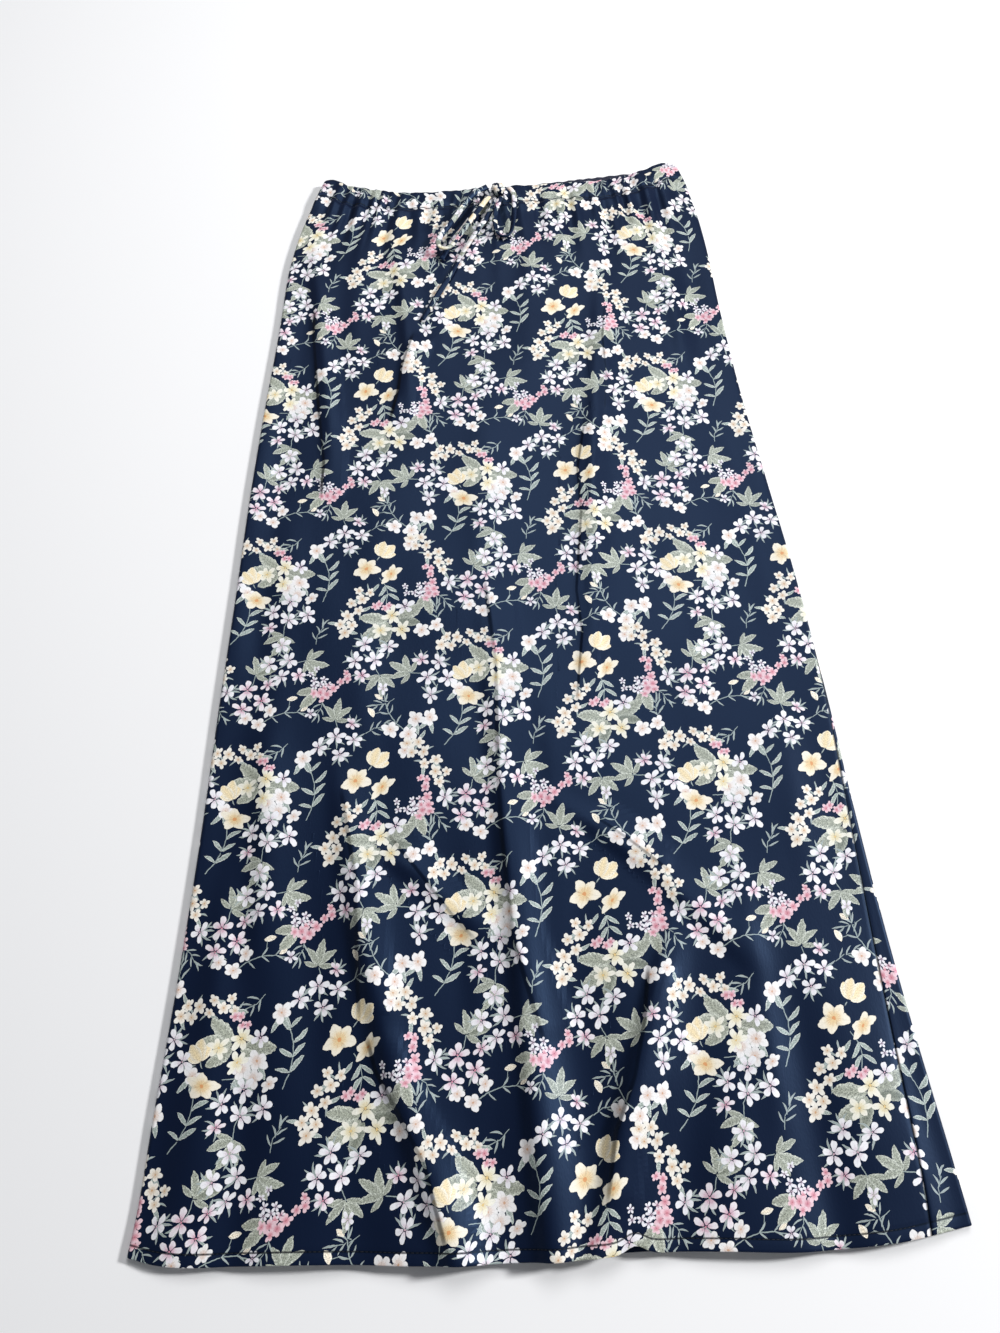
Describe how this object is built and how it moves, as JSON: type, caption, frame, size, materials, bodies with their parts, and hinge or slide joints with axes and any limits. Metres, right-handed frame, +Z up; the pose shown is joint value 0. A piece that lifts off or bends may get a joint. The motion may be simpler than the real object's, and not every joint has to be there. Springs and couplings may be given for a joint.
{
  "type": "maxi skirt",
  "caption": "Long A-line satin skirt laid flat, front over back, with a gathered elastic waist casing, soft flutes at the hem and a narrow tie in a bow.",
  "frame": {"origin": "middle of the floor rectangle under the whole skirt, on the surface it lies on", "axes": "+Y from the hem to the waist, +X to the right as seen from above with the hem nearest, +Z up out of the front panel"},
  "size_m": [0.5658, 1.0038, 0.02],
  "materials": {
    "front_satin": "polyester satin with a soft sheen, navy ground with an all-over print of small pink, white, cream and yellow flowers and sage leaves",
    "back_satin": "the same printed navy satin on the outside, dull plain navy on the inside",
    "casing_satin": "printed navy satin gathered over a narrow elastic, with one row of stitching",
    "back_casing_satin": "printed navy satin outside and dull dark navy inside, gathered over a narrow elastic",
    "tie_satin": "narrow rouleau tube of the printed navy satin, turned right side out"
  },
  "bodies": {
    "root": {"front_panel": "front_satin", "back_panel": "back_satin", "front_casing": "casing_satin", "back_casing": "back_casing_satin", "tie_knot": "tie_satin", "tie_loop_left": "tie_satin", "tie_loop_right": "tie_satin", "tie_tail_short": "tie_satin", "tie_tail_long": "tie_satin"}
  },
  "joints": []
}
